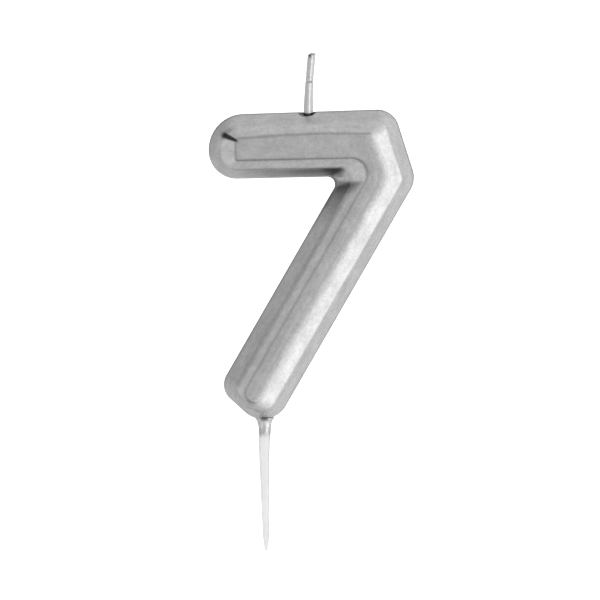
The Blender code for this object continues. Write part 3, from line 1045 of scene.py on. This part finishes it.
def clear_plastic(tree, finish):
    """Moulded clear plastic, slightly cloudy, with fine marks along its length."""
    place = object_place(tree)
    marks = flecks(tree, scaled(tree, place, (1.0, 1.0, 0.12)), 3200.0)
    cloudy = tuple(0.96 * c for c in finish.plastic)
    return {
        "Base Color": mixed(tree, cloud(tree, place, 500.0, 0.002), finish.plastic, cloudy),
        "Metallic": 0.0,
        "Roughness": span(tree, marks["Fleck"], 0.0, 1.0, 0.38, 0.46, "LINEAR"),
        "IOR": 1.35,
        "Transmission Weight": 0.8,
        "Normal": bumped(tree, marks["Height"], 0.002 * MM),
    }


def candle_wax(tree, finish):
    """Cast wax under the coat: soft, cloudy and faintly pitted."""
    place = object_place(tree)
    pits = flecks(tree, place, 900.0)
    darker = tuple(0.93 * c for c in finish.wax)
    return {
        "Base Color": mixed(tree, cloud(tree, place, 200.0, 0.004), finish.wax, darker),
        "Roughness": span(tree, pits["Fleck"], 0.0, 1.0, 0.38, 0.52, "LINEAR"),
        "Subsurface Weight": 0.4,
        "Subsurface Scale": 2.0 * MM,
        "Normal": bumped(tree, pits["Height"], 0.05 * MM),
    }


# -------- stage

# Soft patches of light and shade around the candle: bearing to the right of the
# front, height above the horizon, where the full strength ends and where the
# patch ends, all in degrees, and strength.
PATCHES = {
    "right side": (100, -5, 30, 110, 0.22),
    "key upper": (50, 16, 14, 40, 0.20),
    "key middle": (42, -8, 10, 34, 0.42),
    "key lower": (48, -28, 14, 42, 0.32),
    "left front": (-46, -4, 8, 28, 0.17),
    "left front low": (-50, -32, 8, 26, 0.16),
    "front above": (2, 26, 8, 28, -0.12),
    "upper left": (-82, 44, 10, 34, -0.28),
    "left behind": (-140, 18, 12, 36, -0.16),
    "behind": (180, 6, 14, 42, -0.40),
    "behind right": (155, -5, 10, 34, -0.25),
    "below behind": (180, -76, 6, 26, -0.20),
    "high": (30, 60, 10, 40, 0.10),
}
WHITE = 1.08


def bearing(right, up):
    """Unit vector at a bearing to the right of the front and a height above the horizon, in degrees."""
    right, up = math.radians(right), math.radians(up)
    return (math.sin(right) * math.cos(up), -math.cos(right) * math.cos(up), math.sin(up))


def studio_world(fill):
    """Light by direction: an even fill plus soft round patches, and plain white where it is seen."""
    world = bpy.data.worlds.new("white_studio")
    world.use_nodes = True
    tree = world.node_tree
    tree.nodes.clear()
    towards = add(tree, "TexCoord").outputs["Generated"]
    light = fill
    for right, up, inner, outer, strength in PATCHES.values():
        inputs = {0: towards, 1: bearing(right, up)}
        dot = add(tree, "VectorMath", inputs, operation="DOT_PRODUCT").outputs["Value"]
        patch = span(tree, dot, math.cos(math.radians(outer)), math.cos(math.radians(inner)))
        light = calc(tree, "MULTIPLY_ADD", patch, strength, light)
    light = calc(tree, "MAXIMUM", light, 0.02)
    path = add(tree, "LightPath")
    seen = calc(tree, "MAXIMUM", path.outputs["Is Camera Ray"], path.outputs["Is Transmission Ray"])
    strength = add(tree, "Mix", {0: seen, 2: light, 3: WHITE}, data_type="FLOAT").outputs[0]
    background = add(tree, "Background", {"Color": (1.0, 1.0, 1.0), "Strength": strength})
    add(tree, "OutputWorld", {"Surface": background.outputs[0]})
    bpy.context.scene.world = world


def white_paper(tree, _):
    """Matt white paper that glows a little, so that it stays white under the soft light."""
    grain = flecks(tree, object_place(tree), 900.0)
    return {
        "Base Color": mixed(tree, grain["Fleck"], (0.88, 0.88, 0.88), (0.92, 0.92, 0.92)),
        "Roughness": 0.9,
        "Emission Color": (1.0, 1.0, 1.0),
        "Emission Strength": 0.75,
    }


def floor_sheet():
    """A very wide flat sheet just under the pick's tip."""
    reach, height = 12.0, PICK_LOW.z - 0.1 * MM
    corners = np.array([[-reach, -reach], [reach, -reach], [reach, reach], [-reach, reach]])
    points = np.column_stack([corners, np.full(4, height)])
    floor = make_piece("floor", points, [np.array([[0, 1, 2, 3]])], make_material(white_paper))
    floor.visible_glossy = False
    floor.visible_diffuse = False
    floor.visible_transmission = False
    return floor


def place_camera(stage):
    """A camera level with its aim, raised by the elevation, then rolled about its own view."""
    data = bpy.data.cameras.new("camera")
    data.sensor_width = 36.0
    data.lens = data.sensor_width * stage.distance / stage.view_width
    data.clip_start, data.clip_end = 0.01, 100.0
    camera = bpy.data.objects.new("camera", data)
    bpy.context.scene.collection.objects.link(camera)
    aim = Vector(stage.aim)
    away = Vector((0.0, -math.cos(stage.elevation), math.sin(stage.elevation)))
    place = Matrix.Translation(aim + away * stage.distance)
    level = (-away).to_track_quat("-Z", "Y").to_matrix().to_4x4()
    camera.matrix_world = place @ level @ Matrix.Rotation(-stage.roll, 4, "Z")
    bpy.context.scene.camera = camera


# -------- operators


class CoatOperator(bpy.types.Operator):
    """Make the silver coat of the numeral"""

    bl_idname = "candle.silver_coat"
    bl_label = "Silver coat"

    def execute(self, context):
        points, faces, masks = numeral_surface(setting("numeral"))
        coat = make_piece("lacquered_numeral", points, faces, make_material(silver_lacquer), masks)
        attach(coat, BODY)
        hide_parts("silver_coat")
        return {"FINISHED"}


class CoreOperator(bpy.types.Operator):
    """Finish the wax core inside the coat"""

    bl_idname = "candle.wax_core"
    bl_label = "Wax core"

    def execute(self, context):
        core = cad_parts["wax_core"]
        core.data.materials.clear()
        core.data.materials.append(make_material(candle_wax))
        return {"FINISHED"}


class WickOperator(bpy.types.Operator):
    """Make the braided wick with its open tip and loose fibres"""

    bl_idname = "candle.wick"
    bl_label = "Braided wick"

    def execute(self, context):
        size = setting("wick")
        points, faces = joined([braided_wick(size)] + tip_strands(size) + loose_fibres(size))
        masks = {"heart": wick_marks(points, size)}
        wick = make_piece("braided_wick", points, faces, make_material(waxed_cotton), masks)
        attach(wick, BODY)
        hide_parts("wick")
        return {"FINISHED"}


class PickOperator(bpy.types.Operator):
    """Make the moulded pick and the silver that runs down its root"""

    bl_idname = "candle.pick"
    bl_label = "Moulded pick"

    def execute(self, context):
        size = setting("pick")
        pick = make_piece("moulded_pick", *moulded_pick(size), make_material(clear_plastic))
        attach(pick, BODY)
        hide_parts("cake_pick")
        film = make_piece("pick_film", *film_surface(size), make_material(silver_film))
        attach(film, BODY)
        return {"FINISHED"}


class StageOperator(bpy.types.Operator):
    """Set up the camera, the white floor and the soft studio light"""

    bl_idname = "candle.stage"
    bl_label = "Stage"

    def execute(self, context):
        stage = setting("stage")
        place_camera(stage)
        studio_world(stage.fill)
        floor_sheet()
        context.scene.view_settings.view_transform = "Standard"
        return {"FINISHED"}


OPERATORS = (StageOperator, CoatOperator, CoreOperator, WickOperator, PickOperator)


class CandlePanel(bpy.types.Panel):
    """Sidebar panel with the candle's settings and steps"""

    bl_idname = "VIEW3D_PT_candle"
    bl_label = "Number seven candle"
    bl_space_type = "VIEW_3D"
    bl_region_type = "UI"
    bl_category = "Candle"

    def draw(self, context):
        for group, kind in SETTINGS.items():
            box = self.layout.box()
            box.label(text=group.capitalize())
            for key in kind.__annotations__:
                box.prop(setting(group), key)
        for operator in OPERATORS:
            self.layout.operator(operator.bl_idname)


CLASSES = (*SETTINGS.values(), *OPERATORS, CandlePanel)


def register():
    for kind in CLASSES:
        bpy.utils.register_class(kind)
    for group, kind in SETTINGS.items():
        setattr(bpy.types.Scene, "candle_" + group, PointerProperty(type=kind))


def unregister():
    for group in SETTINGS:
        delattr(bpy.types.Scene, "candle_" + group)
    for kind in reversed(CLASSES):
        bpy.utils.unregister_class(kind)


def main():
    register()
    bpy.ops.candle.stage()
    bpy.ops.candle.silver_coat()
    bpy.ops.candle.wax_core()
    bpy.ops.candle.wick()
    bpy.ops.candle.pick()


if __name__ == "__main__":
    main()
